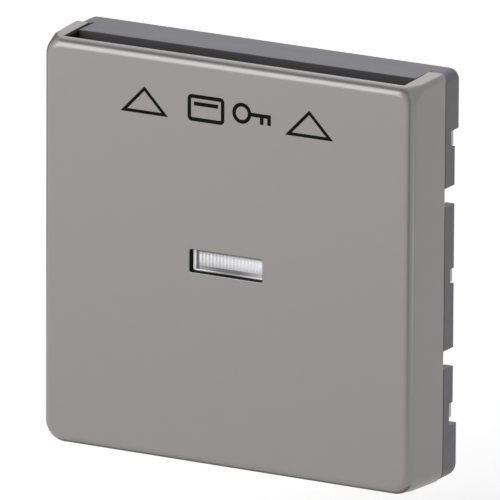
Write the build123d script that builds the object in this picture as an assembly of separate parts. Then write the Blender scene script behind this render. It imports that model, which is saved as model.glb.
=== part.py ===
from build123d import *
import math
import os

# Hotel key card switch, a square unit that is screwed over a wall box. Millimetres.
# The wall is the plane y = 0, the front faces -Y, +X is the viewer's right and +Z is up.
# The origin is the middle of the wall screws' pattern.

# Outer form
cover_depth = 10.9          # front face to the cover's rear edge
side_flare = 0.45           # how far each side of the cover leans out over its depth
top_corner_radius = 3.5     # corners of the front face
bottom_corner_radius = 3.8
corner_run = 3.8            # depth over which the front corners sharpen
rear_top_radius = 1.0       # corners of the cover's rear edge
rear_bottom_radius = 2.8
edge_radius = 1.5           # rounding round the front face

# Cover
panel_thickness = 1.4
side_wall = 2.6
lip_depth = 2.1             # front face to the rear of the slot's lip
lip_height = 3.0
slot_gap = 4.7              # lip to card wall
cavity_corner_radius = 1.2
rib_width = 1.2
rib_places = (-24.0, -12.5, 12.5, 24.0)
catch_places = (-20.0, 20.0)
catch_length = 6.0
catch_reach = 0.9
catch_width = 0.8
catch_play = 0.3

# Lens and its gasket
window_width = 13.9
window_height = 3.95
window_corner = 0.35
window_rise = 0.2           # unit's middle to the window's middle
gasket_wall = 0.12
gasket_setback = 0.12       # front face to the gasket's front edge
gasket_flange = 0.35
gasket_flange_reach = 1.2
lens_setback = 1.15         # front face to the lens
lens_flange = 0.35
lens_edge_radius = 0.31
lens_rib_count = 19
lens_rib_depth = 0.2
well_wall = 1.0
well_clearance = 0.05

# Card
card_width = 53.98          # the common bank-card format
card_play = 0.35            # play at each edge of the card
rail_thickness = 1.5
rail_margin = 3.56          # rail to the cover's side wall
stop_rise = 7.2             # bottom edge to the card's stop, which lets it in by 63 mm

# Carrier
cover_gap = 0.45            # play between the cover's walls and the carrier's tray
rear_gap = 0.4              # shadow gap between the cover's rear edge and the rim
carrier_top_rise = 0.2      # how far the carrier's top stands above the front face's edge
card_wall = 1.5
tray_wall = 1.5
rim_proud = 0.3             # rim outside the front face's sharp edges
rim_wall = 1.6
rim_top_radius = 1.8
rim_bottom_radius = 2.6
flange_thickness = 1.3
rail_panel_gap = 0.3
stop_thickness = 1.5
middle_setback = 1.25       # wall to the rear of the rim's middle blocks
upper_block_end = 25.1
lower_block_end = -25.7
notch_centre = 14.0
notch_height = 3.2
relief_depth = 0.8

# Mounting plate
plate_thickness = 1.8
plate_gap = 0.3
plate_end_gap = 1.0         # rim's wall to the plate's upper and lower edges
plate_corner = 3.0
opening_side_gap = 2.0      # circuit board to the plate's opening
opening_top_gap = 6.2
opening_bottom_gap = 2.2
screw_spacing = 60.0        # the usual spacing of a wall box's screws
screw_hole_radius = 1.75
lug_front = 2.4             # wall to the lugs' front
lug_rear = 1.15
lug_setback = 0.3           # rim's outside to the lugs' ends
lug_places = ((22.4, 25.0), (-1.05, 1.05), (-24.5, -22.0))
lug_slots = ((22.3, 25.1), (-1.3, 1.3), (-25.7, -21.9))
notch_relief = 3.3          # rim's outside to the plate beside the rim's notches

# Lever
pivot_back = 1.3            # card wall's rear to the pin's axis
pivot_drop = 7.0            # unit's middle to the pin's axis
pin_radius = 0.8
pin_head_radius = 1.25
pin_head = 0.5
pin_ear_clearance = 0.02
pin_hub_clearance = 0.05
hub_radius = 2.2
hub_left = -2.6
hub_right = 0.5
arm_half_width = 2.6
arm_thickness = 1.6
arm_front_gap = 0.2         # arm's front to the card wall's front
arm_stop_gap = 1.8          # card's stop to the arm's end
arm_neck = 0.3              # hub to the arm's full width
lever_overlap = 0.4         # how far the lever's pieces run into each other
nose_reach = 4.7            # how far the nose stands out of the card wall
nose_start_drop = 5.0       # pivot to the nose's upper end
nose_tip_rise = 4.5         # arm's end to the nose's tip
nose_flat = 2.0
nose_end_rise = 0.4
nose_half_width = 2.2
nose_edge_radius = 0.6
finger_gap = 0.05           # finger to card wall, the lever's rest
finger_drop = 4.0           # pivot to the finger's middle
finger_width = 2.0
finger_past = 1.4           # how far the finger reaches past the plunger's axis
lever_window_side = 0.45
lever_window_end = 0.9
ear_gap = 0.3
ear_thickness = 1.7
ear_half_height = 2.4
ear_depth = 3.5

# Lever's torsion spring
coil_radius = 1.3
coil_wire = 0.38
coil_pitch = 0.45
coil_full_turns = 4
coil_start = 0.75
arm_leg_drop = 6.4          # pivot to where a leg presses the arm
wall_leg_rise = 3.5         # pivot to where a leg rests on the card wall

# Circuit board
post_gap = 1.8              # terminal block to the posts
board_top_drop = 14.8       # carrier's top to the board's upper edge
board_end_margin = 3.5      # snap switch to the board's lower edge
board_thickness = 1.0
board_rear_gap = 1.2        # wall to the board
board_corner = 1.0
post_side_inset = 2.5       # board's edges to the posts' axes
post_lower_inset = 2.7
post_upper_inset = 2.8
post_radius = 2.3
pilot_radius = 0.8
board_screw_radius = 0.75
board_screw_length = 4.2
board_screw_head_radius = 1.7
board_screw_head = 0.7
screw_slot_width = 0.45
board_hole_radius = 1.0
pin_hole_clearance = 0.05

# Snap switch
switch_gap = 2.5            # arm's side to the snap switch
switch_width = 5.8
switch_length = 12.8
switch_front_gap = 1.0      # finger's rear face to the switch's front
switch_top_drop = 0.7       # pivot to the switch's upper end
switch_wall = 0.6
switch_half = 1.5           # height of the base
plunger_radius = 0.7
plunger_gap = 0.05
plunger_collar_radius = 1.15
plunger_collar = 0.2
plunger_play = 0.07
plunger_nib_radius = 0.35   # the foot that presses the blade
plunger_nib = 0.07
plunger_dome = 0.42
blade_gap = 0.03            # foot to blade, at rest
blade_width = 3.0
blade_thickness = 0.15
blade_anchor = 0.9          # case's end wall to the blade's anchor
blade_root = 0.6            # half the length that is clamped
blade_margin = 0.2          # blade round its contact
contact_margin = 0.4        # contact to the case's end wall
contact_radius = 0.8
contact_height = 0.2
fixed_contact_height = 0.27
contact_travel = 0.81       # gap between the contacts at rest
terminal_pin_radius = 0.4
pin_end = 0.45              # how far the pins stand out behind the board

# Lamp and the parts that feed it
lamp_radius = 1.5
lamp_dome = 1.35
lamp_flange_radius = 1.9
lamp_flange = 0.9
lamp_length = 4.5
lamp_pin_radius = 0.25
lamp_pin_pitch = 2.54
guide_half_width = 6.4
guide_half_height = 1.6
guide_clearance = 0.1
guide_flange = 0.5
guide_flange_reach = 0.7
axial_lead_radius = 0.25
axial_edge_radius = 0.33
resistor_radius = 1.0
resistor_length = 5.2
diode_radius = 1.2
diode_length = 4.4
lead_run = 1.2
axial_inset = 8.5           # board's edges to the middles of the wired parts
axial_place_z = 2.6
board_lift = 0.1             # board to the bodies that lie on it

# Terminal block
block_end_wall = 2.12
block_length = 10.4
block_gap = 0.6             # card wall's rear to the block
chamber_pitch = 8.6
chamber_places = (-1, 0, 1)
chamber_wall = 0.6
clamp_width = 5.2
clamp_length = 6.4
clamp_clearance = 0.08
clamp_wall = 0.55
wire_hole_radius = 1.1
wire_bore_radius = 0.95
terminal_screw_radius = 1.25
terminal_screw_clearance = 0.05
terminal_head_radius = 1.9
terminal_head = 0.8
terminal_screw_reach = 0.4  # how far a loose screw stands into the wire bore
screw_access_radius = 2.1
tail_radius = 0.4
tail_drop = 1.2

# Outer sizes worked out from the sizes above
front_width = card_width + 2 * (card_play + rail_thickness + rail_margin + side_wall)
switch_depth = (2 * switch_wall + plunger_play + plunger_collar + plunger_nib + blade_gap
                + blade_thickness + contact_height + contact_travel + fixed_contact_height)
depth = (lip_depth + slot_gap + card_wall + pivot_back + switch_front_gap + switch_depth
         + board_thickness + board_rear_gap)

# Places worked out from the sizes above
half = front_width / 2
front_y = -depth
cover_rear_y = front_y + cover_depth
panel_rear_y = front_y + panel_thickness
lip_rear_y = front_y + lip_depth
card_wall_y = lip_rear_y + slot_gap
wall_rear_y = card_wall_y + card_wall
cavity = half - side_wall
lip_under_z = half - lip_height
top_z = half + carrier_top_rise
tray = cavity - cover_gap
rim = half + rim_proud
rim_front_y = cover_rear_y + rear_gap
flange_rear_y = rim_front_y + flange_thickness
rail_inner = card_width / 2 + card_play
stop_z = stop_rise - half
board_rear = -board_rear_gap
board_front_y = board_rear - board_thickness
pin_end_y = board_rear + pin_end
pivot_y = wall_rear_y + pivot_back
pivot_z = -pivot_drop
arm_front_y = card_wall_y + arm_front_gap
arm_rear_y = arm_front_y + arm_thickness
arm_end_z = stop_z + arm_stop_gap
nose_start_z = pivot_z - nose_start_drop
nose_tip_z = arm_end_z + nose_tip_rise
nose_end_z = arm_end_z + nose_end_rise
finger_z = pivot_z - finger_drop
switch_front_y = pivot_y + switch_front_gap
switch_top_z = pivot_z - switch_top_drop
case_bottom_z = switch_top_z - switch_length
case_right = -arm_half_width - switch_gap
case_left = case_right - switch_width
switch_x = (case_left + case_right) / 2
finger_end = switch_x - finger_past
base_front_y = board_front_y - switch_half
cavity_front_y = switch_front_y + switch_wall
cavity_rear_y = board_front_y - switch_wall
collar_front_y = cavity_front_y + plunger_play
blade_y = collar_front_y + plunger_collar + plunger_nib + blade_gap
blade_anchor_z = case_bottom_z + switch_wall + blade_anchor
contact_z = switch_top_z - switch_wall - contact_radius - contact_margin
block_half_width = chamber_pitch + clamp_width / 2 + clamp_clearance + block_end_wall
board_half_width = block_half_width + post_gap + post_radius + post_side_inset
board_top = top_z - board_top_drop
board_bottom = case_bottom_z - board_end_margin
post_x = board_half_width - post_side_inset
board_places = [(x, z) for x in (-post_x, post_x)
                for z in (board_bottom + post_lower_inset, board_top - post_upper_inset)]
opening_half_width = board_half_width + opening_side_gap
opening_top = board_top + opening_top_gap
opening_bottom = board_bottom - opening_bottom_gap
resistor_place = (axial_inset - board_half_width, axial_place_z)
diode_place = (board_half_width - axial_inset, axial_place_z)
block_top = board_top
block_bottom = block_top - block_length
block_front = wall_rear_y + block_gap
chamber_x = [place * chamber_pitch for place in chamber_places]
pivot_ear_inner = arm_half_width + ear_gap
pivot_ear_outer = pivot_ear_inner + ear_thickness


def block(x0, x1, y0, y1, z0, z1):
    """A box between two corners."""
    middle = ((x0 + x1) / 2, (y0 + y1) / 2, (z0 + z1) / 2)
    return Pos(*middle) * Box(abs(x1 - x0), abs(y1 - y0), abs(z1 - z0))


def rod_y(x, z, radius, y0, y1):
    """A round bar along Y."""
    return Pos(x, (y0 + y1) / 2, z) * Rot(90, 0, 0) * Cylinder(radius, abs(y1 - y0))


def rod_x(y, z, radius, x0, x1):
    """A round bar along X."""
    return Pos((x0 + x1) / 2, y, z) * Rot(0, 90, 0) * Cylinder(radius, abs(x1 - x0))


def rod_z(x, y, radius, z0, z1):
    """A round bar along Z."""
    return Pos(x, y, (z0 + z1) / 2) * Cylinder(radius, abs(z1 - z0))


def facing(y):
    """The plane at depth y, seen from the front."""
    return Plane(origin=(0, y, 0), x_dir=(1, 0, 0), z_dir=(0, -1, 0))


def rounded_outline(width, height, top_radius, bottom_radius):
    """A rectangle whose upper and lower corners have their own radii."""
    shape = Rectangle(width, height)
    upper = shape.vertices().group_by(Axis.Y)[-1]
    shape = fillet(upper, top_radius)
    lower = shape.vertices().group_by(Axis.Y)[0]
    return fillet(lower, bottom_radius)


def window_bar(width, height, radius, y0, y1):
    """A bar along Y with one corner radius, about the window's middle."""
    shape = facing(y1) * Pos(0, window_rise) * RectangleRounded(width, height, radius)
    return extrude(shape, amount=y1 - y0)


def plate_outline(x0, x1, z0, z1, radius, y0, y1):
    """A flat plate between two corners with one corner radius."""
    shape = Pos((x0 + x1) / 2, (z0 + z1) / 2) * RectangleRounded(x1 - x0, z1 - z0, radius)
    return extrude(facing(y1) * shape, amount=y1 - y0)


def one_solid(shape):
    """The largest solid of a shape, which is the whole of it for a sound piece."""
    return max(shape.solids(), key=lambda solid: solid.volume)


def cover_body():
    """The cover's outer form: sides that lean out, and corners that sharpen towards the rear."""
    corner_y = front_y + corner_run
    lean = side_flare * corner_run / cover_depth
    front = facing(front_y) * rounded_outline(
        front_width, front_width, top_corner_radius, bottom_corner_radius)
    middle_width = front_width + 2 * lean
    middle = facing(corner_y) * rounded_outline(
        middle_width, middle_width, rear_top_radius, rear_bottom_radius)
    rear_width = front_width + 2 * side_flare
    rear = facing(cover_rear_y) * rounded_outline(
        rear_width, rear_width, rear_top_radius, rear_bottom_radius)
    body = loft([front, middle], ruled=True) + loft([middle, rear], ruled=True)
    front_edges = body.faces().sort_by(Axis.Y)[0].edges()
    return fillet(front_edges, edge_radius)


def front_cover():
    """The lacquered cover: panel, side walls, slot lip, lens window and well, card ribs and catches."""
    cover = cover_body()
    pocket = block(-cavity, cavity, panel_rear_y, 0, -cavity, lip_under_z)
    corners = pocket.edges().filter_by(Axis.Y).group_by(Axis.Z)[0]
    cover -= fillet(corners, cavity_corner_radius)
    cover -= block(-cavity, cavity, lip_rear_y, 0, 0, half + depth)
    well_width = window_width + 2 * gasket_flange_reach + 2 * well_clearance
    well_height = window_height + 2 * gasket_flange_reach + 2 * well_clearance
    well = window_bar(well_width + 2 * well_wall, well_height + 2 * well_wall,
                      window_corner + well_wall, panel_rear_y, lip_rear_y)
    well -= window_bar(well_width, well_height, window_corner, panel_rear_y, 0)
    cover += well
    cover -= window_bar(window_width, window_height, window_corner, front_y - 1, panel_rear_y + 1)
    for x in rib_places:
        cover += block(x - rib_width / 2, x + rib_width / 2, panel_rear_y, lip_rear_y,
                       stop_z + 1, lip_under_z)
    catch_y = cover_rear_y - 2 * catch_width
    for side in (-1, 1):
        for z in catch_places:
            inner = side * (cavity - catch_reach)
            cover += block(inner, side * (cavity + 0.5), catch_y, catch_y + catch_width,
                           z - catch_length / 2, z + catch_length / 2)
    return one_solid(cover)


def lens_gasket():
    """The black frame that lines the window and seals the lens."""
    start = front_y + gasket_setback
    flange_front = panel_rear_y
    width = window_width + 2 * gasket_flange_reach
    height = window_height + 2 * gasket_flange_reach
    gasket = window_bar(window_width, window_height, window_corner, start, flange_front + gasket_flange)
    gasket += window_bar(width, height, window_corner, flange_front, flange_front + gasket_flange)
    gasket -= window_bar(window_width - 2 * gasket_wall, window_height - 2 * gasket_wall,
                         window_corner, start - 1, 0)
    return one_solid(gasket)


def window_lens():
    """The clear lens: a bar with a rounded front edge, a rear flange and upright ribs behind."""
    lens_width = window_width - 2 * gasket_wall
    lens_height = window_height - 2 * gasket_wall
    flange_front = panel_rear_y + gasket_flange
    flange_rear = flange_front + lens_flange
    bar = window_bar(lens_width, lens_height, window_corner, front_y + lens_setback, flange_rear)
    bar = fillet(bar.faces().sort_by(Axis.Y)[0].edges(), lens_edge_radius)
    flange = window_bar(window_width + 2 * gasket_flange_reach,
                        window_height + 2 * gasket_flange_reach,
                        window_corner, flange_front, flange_rear)
    lens = bar + flange
    pitch = (lens_width - 2 * window_corner) / lens_rib_count
    groove_half = lens_height / 2 - window_corner
    for index in range(lens_rib_count - 1):
        x = -lens_width / 2 + window_corner + (index + 1) * pitch
        groove = block(x - pitch / 4, x + pitch / 4, flange_rear - lens_rib_depth, flange_rear + 1,
                       window_rise - groove_half, window_rise + groove_half)
        lens -= groove
    return one_solid(lens)


def carrier_rim():
    """The rim behind the cover, with its blocks, through notches and slots for the plate's lugs."""
    height = half + top_z
    shape = rounded_outline(2 * rim, height + rim_proud, rim_top_radius, rim_bottom_radius)
    middle_z = (top_z - rim) / 2
    profile = Pos(0, middle_z) * shape
    rim_body = extrude(facing(0) * profile, amount=-rim_front_y)
    inner = rim - rim_wall
    rim_body -= block(-inner, inner, flange_rear_y, 1, -inner, top_z - rim_wall)
    rim_body -= block(-tray + tray_wall, tray - tray_wall, -depth, 1,
                      -tray + tray_wall, top_z - rim_wall)
    reach = rim + 1
    for side in (-1, 1):
        rim_body -= block(side * inner, side * reach, -middle_setback, 1,
                          lower_block_end, upper_block_end)
        for z in (-notch_centre, notch_centre):
            rim_body -= block(side * tray, side * reach, rim_front_y - 1, 1,
                              z - notch_height / 2, z + notch_height / 2)
        for low, high in lug_slots:
            rim_body -= block(side * (inner - 1), side * reach, -lug_front - 0.1, 1, low, high)
        rim_body -= block(side * tray, side * cavity, rim_front_y - 1,
                          rim_front_y + relief_depth, 0, top_z + 1)
    return rim_body


def carrier():
    """The dark tray: card wall, rails and stop, top face, rim, posts, ears and windows."""
    body = block(-tray, tray, card_wall_y, rim_front_y + 0.5, -tray, top_z)
    body -= block(-tray + tray_wall, tray - tray_wall, wall_rear_y, 1,
                  -tray + tray_wall, top_z - rim_wall)
    body += carrier_rim()
    rail_front = panel_rear_y + rail_panel_gap
    rail_outer = rail_inner + rail_thickness
    rail_top = lip_under_z - rail_panel_gap
    for side in (-1, 1):
        body += block(side * rail_inner, side * rail_outer, rail_front, card_wall_y,
                      stop_z - stop_thickness, rail_top)
    body += block(-rail_outer, rail_outer, rail_front, card_wall_y, stop_z - stop_thickness, stop_z)
    body -= block(-arm_half_width - lever_window_side, arm_half_width + lever_window_side,
                  card_wall_y - 1, wall_rear_y + 1,
                  arm_end_z - lever_window_end, pivot_z + hub_radius + lever_window_side)
    for side in (-1, 1):
        body += block(side * pivot_ear_inner, side * pivot_ear_outer, wall_rear_y - 0.5,
                      wall_rear_y + ear_depth, pivot_z - ear_half_height, pivot_z + ear_half_height)
    body -= rod_x(pivot_y, pivot_z, pin_radius + pin_ear_clearance,
                  -pivot_ear_outer - 0.2, pivot_ear_outer + 0.2)
    guide_x = guide_half_width + guide_clearance
    guide_z = guide_half_height + guide_clearance
    body -= block(-guide_x, guide_x, card_wall_y - 1, wall_rear_y + 1, -guide_z, guide_z)
    for x, z in board_places:
        body += rod_y(x, z, post_radius, wall_rear_y - 0.5, board_front_y)
    for x, z in board_places:
        body -= rod_y(x, z, pilot_radius, board_front_y - board_screw_length, board_front_y + 1)
    catch_y = cover_rear_y - 2 * catch_width
    for side in (-1, 1):
        for z in catch_places:
            body -= block(side * (tray - catch_reach), side * (tray + 1),
                          catch_y - catch_play, catch_y + catch_width + catch_play,
                          z - catch_length / 2 - catch_play, z + catch_length / 2 + catch_play)
    return one_solid(body)


def mounting_plate():
    """The white frame that is screwed to the wall box, with three lugs on each side."""
    width = rim - rim_wall - plate_gap
    height = rim - rim_wall - plate_end_gap
    plate = plate_outline(-width, width, -height, height, plate_corner, -plate_thickness, 0)
    plate -= plate_outline(-opening_half_width, opening_half_width, opening_bottom, opening_top,
                           plate_corner, -plate_thickness - 1, 1)
    relief_half = notch_height / 2 + plate_gap + plate_thickness
    for side in (-1, 1):
        for z in (-notch_centre, notch_centre):
            plate -= block(side * (rim - notch_relief), side * (rim + 1), -depth, 1,
                           z - relief_half, z + relief_half)
        for low, high in lug_places:
            plate += block(side * (width - 1), side * (rim - lug_setback), -lug_front, -lug_rear,
                           low, high)
        plate -= rod_y(side * screw_spacing / 2, 0, screw_hole_radius, -depth, 1)
        plate -= rod_y(0, side * screw_spacing / 2, screw_hole_radius, -depth, 1)
    return one_solid(plate)


def card_lever():
    """The lever: hub on the pin, arm in the card wall's window, nose in the slot, switch finger."""
    hub = rod_x(pivot_y, pivot_z, hub_radius, hub_left, hub_right)
    arm_top_z = pivot_z - hub_radius - arm_neck
    arm = block(-arm_half_width, arm_half_width, arm_front_y, arm_rear_y, arm_end_z, arm_top_z)
    neck = block(hub_left, hub_right, arm_front_y, pivot_y, arm_top_z - lever_overlap, pivot_z)
    nose_y = card_wall_y - nose_reach
    seat_y = arm_front_y + lever_overlap
    outline = [(seat_y, nose_start_z), (arm_front_y, nose_start_z), (nose_y, nose_tip_z),
               (nose_y, nose_tip_z - nose_flat), (arm_front_y, nose_end_z), (seat_y, nose_end_z)]
    side_plane = Plane(origin=(-nose_half_width, 0, 0), x_dir=(0, 1, 0), z_dir=(1, 0, 0))
    nose = extrude(side_plane * make_face(Polyline(outline, close=True)), amount=2 * nose_half_width)
    tip = nose.edges().filter_by(Axis.X).group_by(Axis.Y)[0]
    nose = fillet(tip, nose_edge_radius)
    finger_front = wall_rear_y + finger_gap
    low = finger_z - finger_width / 2
    high = finger_z + finger_width / 2
    finger = block(finger_end, 0, finger_front, pivot_y, low, high)
    root = block(-arm_half_width, hub_right, arm_front_y, pivot_y,
                 low - lever_overlap, high + lever_overlap)
    lever = hub + arm + neck + nose + finger + root
    lever -= rod_x(pivot_y, pivot_z, pin_radius + pin_hub_clearance, hub_left - 1, hub_right + 1)
    return one_solid(lever)


def lever_pin():
    """The steel pin through the carrier's ears, with a flat head."""
    shank = rod_x(pivot_y, pivot_z, pin_radius, -pivot_ear_outer, pivot_ear_outer)
    head = rod_x(pivot_y, pivot_z, pin_head_radius, pivot_ear_outer, pivot_ear_outer + pin_head)
    return one_solid(shank + head)


def tangent_from(y, z, side):
    """The angle, about the pin, of the coil's tangent point towards a place."""
    distance = math.hypot(y - pivot_y, z - pivot_z)
    bearing = math.atan2(z - pivot_z, y - pivot_y)
    return bearing + side * math.acos(coil_radius / distance)


def lever_spring():
    """The torsion spring on the pin: one leg on the lever's arm, one on the card wall."""
    wire = coil_wire / 2
    arm_foot = (arm_rear_y + wire, pivot_z - arm_leg_drop)
    wall_foot = (wall_rear_y + wire, pivot_z + wall_leg_rise)
    arm_angle = tangent_from(*arm_foot, 1)
    wall_angle = tangent_from(*wall_foot, -1)
    turn = (wall_angle - arm_angle) % (2 * math.pi) + 2 * math.pi * coil_full_turns
    helix = Helix(pitch=coil_pitch, height=coil_pitch * turn / (2 * math.pi), radius=coil_radius)
    section = Plane(origin=helix @ 0, z_dir=helix % 0) * Circle(wire)
    coil = sweep(section, path=helix, is_frenet=True)
    start = (0, math.cos(arm_angle), math.sin(arm_angle))
    seat = Plane(origin=(coil_start, pivot_y, pivot_z), x_dir=start, z_dir=(1, 0, 0))
    spring = seat * coil
    for angle, foot, x in ((arm_angle, arm_foot, coil_start),
                           (wall_angle, wall_foot, coil_start + helix.bounding_box().size.Z)):
        heel = Vector(x, pivot_y + coil_radius * math.cos(angle), pivot_z + coil_radius * math.sin(angle))
        leg = Vector(x, *foot) - heel
        spring += Plane(origin=heel, z_dir=leg) * Cylinder(
            wire, leg.length, align=(Align.CENTER, Align.CENTER, Align.MIN))
        spring += Pos(*heel) * Sphere(wire)
    return one_solid(spring)


def circuit_board():
    """The board behind the tray, with its fixing, screw access and pin holes."""
    board = plate_outline(-board_half_width, board_half_width, board_bottom, board_top, board_corner,
                          board_front_y, board_rear)
    for x, z in board_places:
        board -= rod_y(x, z, board_hole_radius, board_front_y - 1, 0)
    for x in chamber_x:
        board -= rod_y(x, screw_z(), screw_access_radius, board_front_y - 1, 0)
    for x, z, radius in pin_places():
        board -= rod_y(x, z, radius + pin_hole_clearance, board_front_y - 1, 0)
    return one_solid(board)


def clamp_span():
    """The lowest and highest z of the terminal clamps."""
    high = block_top - chamber_wall - clamp_clearance
    return high - clamp_length, high


def screw_z():
    """The height of the terminal screws."""
    low, high = clamp_span()
    return (low + high) / 2


def tail_z():
    """The height of the clamps' tails."""
    return clamp_span()[0] + tail_drop / 2


def axial_pin_x(x, length):
    """The two places where an axial part's leads go through the board."""
    reach = length / 2 + lead_run
    return x - reach, x + reach


def pin_places():
    """Every pin that goes through the board: its place and radius."""
    places = [(switch_x, blade_anchor_z, terminal_pin_radius),
              (switch_x, contact_z, terminal_pin_radius)]
    for side in (-1, 1):
        places.append((side * lamp_pin_pitch / 2, 0, lamp_pin_radius))
    for (x, z), length in ((resistor_place, resistor_length), (diode_place, diode_length)):
        for pin_x in axial_pin_x(x, length):
            places.append((pin_x, z, axial_lead_radius))
    for x in chamber_x:
        places.append((x, tail_z(), tail_radius))
    return places


def board_screws():
    """Four screws that hold the board to the carrier's posts."""
    screws = []
    for x, z in board_places:
        screw = rod_y(x, z, board_screw_radius, board_front_y - board_screw_length + 0.3, board_rear)
        screw += rod_y(x, z, board_screw_head_radius, board_rear, board_rear + board_screw_head)
        screw -= block(x - board_screw_head_radius, x + board_screw_head_radius,
                       board_rear + board_screw_head / 2, 0,
                       z - screw_slot_width / 2, z + screw_slot_width / 2)
        screws.append(one_solid(screw))
    return Compound(children=screws)


def switch_shell(y0, y1, open_y0, open_y1):
    """One half of the switch's case, hollow between two depths."""
    shell = block(case_left, case_right, y0, y1, case_bottom_z, switch_top_z)
    shell -= block(case_left + switch_wall, case_right - switch_wall, open_y0, open_y1,
                   case_bottom_z + switch_wall, switch_top_z - switch_wall)
    return shell


def switch_base():
    """The rear half of the switch's case, with holes for its two pins."""
    base = switch_shell(base_front_y, board_front_y, base_front_y - 1, cavity_rear_y)
    for z in (blade_anchor_z, contact_z):
        base -= rod_y(switch_x, z, terminal_pin_radius + pin_hole_clearance, base_front_y, 0)
    return one_solid(base)


def switch_cover():
    """The front half of the switch's case, with the plunger's hole."""
    cover = switch_shell(switch_front_y, base_front_y, cavity_front_y, base_front_y + 1)
    cover -= rod_y(switch_x, finger_z, plunger_radius + plunger_play, -depth, base_front_y)
    return one_solid(cover)


def switch_plunger():
    """The plunger: a domed stem with a collar under the switch's cover."""
    tip_y = pivot_y + plunger_gap
    collar_rear_y = collar_front_y + plunger_collar
    stem = rod_y(switch_x, finger_z, plunger_radius, tip_y, collar_rear_y)
    stem = fillet(stem.edges().sort_by(Axis.Y)[0], plunger_dome)
    collar = rod_y(switch_x, finger_z, plunger_collar_radius, collar_front_y, collar_rear_y)
    nib = rod_y(switch_x, finger_z, plunger_nib_radius, collar_rear_y, collar_rear_y + plunger_nib)
    return one_solid(stem + collar + nib)


def contact_blade():
    """The switch's spring blade, from its anchor to its contact."""
    blade = block(switch_x - blade_width / 2, switch_x + blade_width / 2,
                  blade_y, blade_y + blade_thickness,
                  blade_anchor_z - blade_root, contact_z + contact_radius + blade_margin)
    return one_solid(blade)


def blade_contact():
    """The silver contact under the blade's free end."""
    rear = blade_y + blade_thickness
    return one_solid(rod_y(switch_x, contact_z, contact_radius, rear, rear + contact_height))


def common_terminal():
    """The brass post that carries the blade, with its pin through the board."""
    post = block(switch_x - blade_width / 2, switch_x + blade_width / 2,
                 blade_y + blade_thickness, cavity_rear_y,
                 blade_anchor_z - blade_root, blade_anchor_z + blade_root)
    return one_solid(post + rod_y(switch_x, blade_anchor_z, terminal_pin_radius, cavity_rear_y, pin_end_y))


def fixed_contact():
    """The fixed contact under the blade's end, with its pin through the board."""
    head = rod_y(switch_x, contact_z, contact_radius, cavity_rear_y - fixed_contact_height, cavity_rear_y)
    return one_solid(head + rod_y(switch_x, contact_z, terminal_pin_radius, cavity_rear_y, pin_end_y))


def lamp():
    """The locating light: flange, domed body and two pins."""
    flange = rod_y(0, 0, lamp_flange_radius, board_front_y - lamp_flange, board_front_y)
    body = rod_y(0, 0, lamp_radius, board_front_y - lamp_length, board_front_y)
    body = fillet(body.edges().sort_by(Axis.Y)[0], lamp_dome)
    light = flange + body
    for side in (-1, 1):
        light += rod_y(side * lamp_pin_pitch / 2, 0, lamp_pin_radius, board_front_y - 0.2, pin_end_y)
    return one_solid(light)


def light_guide():
    """The clear bar in the card wall, with a flange behind it."""
    bar = block(-guide_half_width, guide_half_width, card_wall_y, wall_rear_y,
                -guide_half_height, guide_half_height)
    reach = guide_flange_reach
    flange = block(-guide_half_width - reach, guide_half_width + reach,
                   wall_rear_y, wall_rear_y + guide_flange,
                   -guide_half_height - reach, guide_half_height + reach)
    return one_solid(bar + flange)


def axial_part(place, radius, length):
    """A wired part that lies on the board, its leads bent down through it."""
    x, z = place
    y = board_front_y - radius - board_lift
    left, right = axial_pin_x(x, length)
    part = rod_x(y, z, radius, x - length / 2, x + length / 2)
    part = fillet(part.edges(), axial_edge_radius)
    part += rod_x(y, z, axial_lead_radius, left, right)
    for pin_x in (left, right):
        part += rod_y(pin_x, z, axial_lead_radius, y, pin_end_y)
        part += Pos(pin_x, y, z) * Sphere(axial_lead_radius)
    return one_solid(part)


def terminal_block():
    """The moulded block for three wires, with chambers open to the top and screw holes behind."""
    body = block(-block_half_width, block_half_width, block_front, board_front_y, block_bottom, block_top)
    low, high = clamp_span()
    front = block_front + chamber_wall
    rear = clamp_rear_y() + clamp_clearance
    for x in chamber_x:
        side = clamp_width / 2 + clamp_clearance
        body -= block(x - side, x + side, front, rear, low - clamp_clearance, high + clamp_clearance)
        body -= rod_z(x, wire_y(), wire_hole_radius, high - 1, block_top + 1)
        body -= rod_y(x, screw_z(), terminal_head_radius + 0.1, rear - 1, 0)
        body -= rod_y(x, tail_z(), tail_radius + pin_hole_clearance, rear - 1, 0)
    return one_solid(body)


def clamp_rear_y():
    """The rear face of the terminal clamps."""
    return block_front + chamber_wall + 2 * (wire_bore_radius + clamp_wall)


def wire_y():
    """The depth of the wires' axes in the terminal block."""
    return block_front + chamber_wall + clamp_wall + wire_bore_radius


def terminal_clamps():
    """Three brass clamps, each with a wire bore, a screw hole and a tail to the board."""
    low, high = clamp_span()
    front = block_front + chamber_wall + clamp_clearance
    rear = clamp_rear_y()
    clamps = []
    for x in chamber_x:
        clamp = block(x - clamp_width / 2, x + clamp_width / 2, front, rear, low, high)
        clamp -= rod_z(x, wire_y(), wire_bore_radius, low + tail_drop, high + 1)
        clamp -= rod_y(x, screw_z(), terminal_screw_radius + terminal_screw_clearance,
                       wire_y(), rear + 1)
        clamp += rod_y(x, tail_z(), tail_radius, rear - 0.3, pin_end_y)
        clamps.append(one_solid(clamp))
    return Compound(children=clamps)


def terminal_screws():
    """Three slotted clamp screws, reached from behind through the board."""
    rear = clamp_rear_y()
    screws = []
    for x in chamber_x:
        z = screw_z()
        screw = rod_y(x, z, terminal_screw_radius, rear - clamp_wall - terminal_screw_reach, rear)
        head_rear = rear + terminal_head
        screw += rod_y(x, z, terminal_head_radius, rear, head_rear)
        screw -= block(x - terminal_head_radius, x + terminal_head_radius,
                       head_rear - terminal_head / 2, head_rear + 1,
                       z - screw_slot_width / 2, z + screw_slot_width / 2)
        screws.append(one_solid(screw))
    return Compound(children=screws)


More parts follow.
